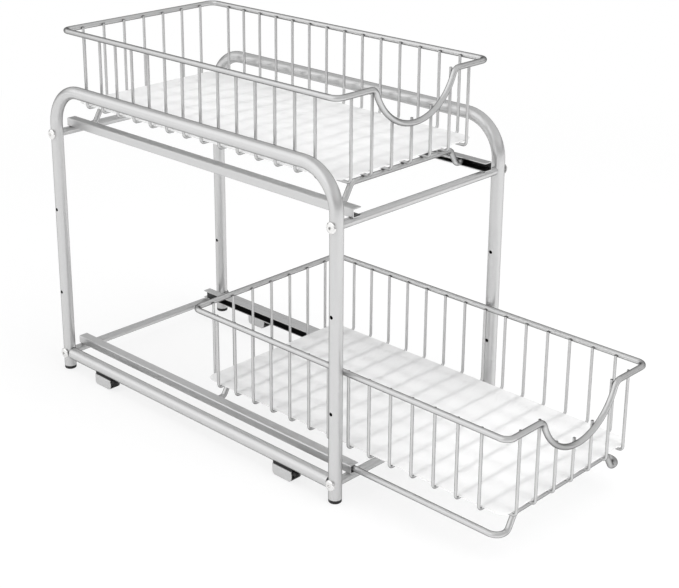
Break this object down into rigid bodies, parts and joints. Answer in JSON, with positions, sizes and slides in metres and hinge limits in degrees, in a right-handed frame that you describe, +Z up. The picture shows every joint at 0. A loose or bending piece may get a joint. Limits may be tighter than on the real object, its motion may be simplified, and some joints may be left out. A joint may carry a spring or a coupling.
{
  "type": "pull out cabinet basket",
  "caption": "Two-tier cabinet organiser: a bent-tube stand with C-channels, and wire baskets with a scooped front that slide out of it on their base wires.",
  "frame": {"origin": "on the floor under the middle of the whole outline, with the upper basket closed and the lower one pulled out", "axes": "+X across the stand to its right side, +Y to its rear (the baskets pull out towards -Y), +Z up"},
  "size_m": [0.3016, 0.7454, 0.4744],
  "materials": {
    "silver_coated_tube": "satin silver-grey powder coat on steel tube",
    "silver_coated_wire": "satin silver-grey powder coat on steel wire",
    "bracket_steel": "satin silver-grey coated sheet steel",
    "nickel_plated_screw": "bright nickel plate",
    "black_nylon": "smooth black nylon",
    "black_plastic": "matte black moulded plastic",
    "black_rubber": "matte black rubber",
    "frosted_plastic": "frosted translucent polypropylene"
  },
  "bodies": {
    "stand": {"crossbar_screws": "nickel_plated_screw", "front_left_floor_bracket": "bracket_steel", "front_left_foot_cap": "black_plastic", "front_left_rail_pad": "black_rubber", "front_right_floor_bracket": "bracket_steel", "front_right_foot_cap": "black_plastic", "front_right_rail_pad": "black_rubber", "left_bottom_rail": "silver_coated_tube", "left_side_frame": "silver_coated_tube", "lower_front_crossbar": "silver_coated_tube", "lower_left_channel": "silver_coated_tube", "lower_left_slide_liner": "black_nylon", "lower_rear_crossbar": "silver_coated_tube", "lower_right_channel": "silver_coated_tube", "lower_right_slide_liner": "black_nylon", "rear_left_floor_bracket": "bracket_steel", "rear_left_foot_cap": "black_plastic", "rear_left_rail_pad": "black_rubber", "rear_right_floor_bracket": "bracket_steel", "rear_right_foot_cap": "black_plastic", "rear_right_rail_pad": "black_rubber", "right_bottom_rail": "silver_coated_tube", "right_side_frame": "silver_coated_tube", "upper_front_crossbar": "silver_coated_tube", "upper_left_channel": "silver_coated_tube", "upper_left_slide_liner": "black_nylon", "upper_rear_crossbar": "silver_coated_tube", "upper_right_channel": "silver_coated_tube", "upper_right_slide_liner": "black_nylon"},
    "upper_basket": {"upper_basket_rim": "silver_coated_wire", "upper_basket_base_frame": "silver_coated_wire", "upper_basket_cross_wires": "silver_coated_wire", "upper_basket_length_wires": "silver_coated_wire", "upper_basket_floor_sheet": "frosted_plastic"},
    "lower_basket": {"lower_basket_rim": "silver_coated_wire", "lower_basket_base_frame": "silver_coated_wire", "lower_basket_cross_wires": "silver_coated_wire", "lower_basket_length_wires": "silver_coated_wire", "lower_basket_floor_sheet": "frosted_plastic"}
  },
  "joints": [
    {"name": "upper_basket_slide", "type": "slide", "parent": "stand", "child": "upper_basket", "axis": [0, -1, 0], "range_m": [0, 0.3]},
    {"name": "lower_basket_slide", "type": "slide", "parent": "stand", "child": "lower_basket", "axis": [0, -1, 0], "range_m": [-0.242, 0.058]}
  ]
}
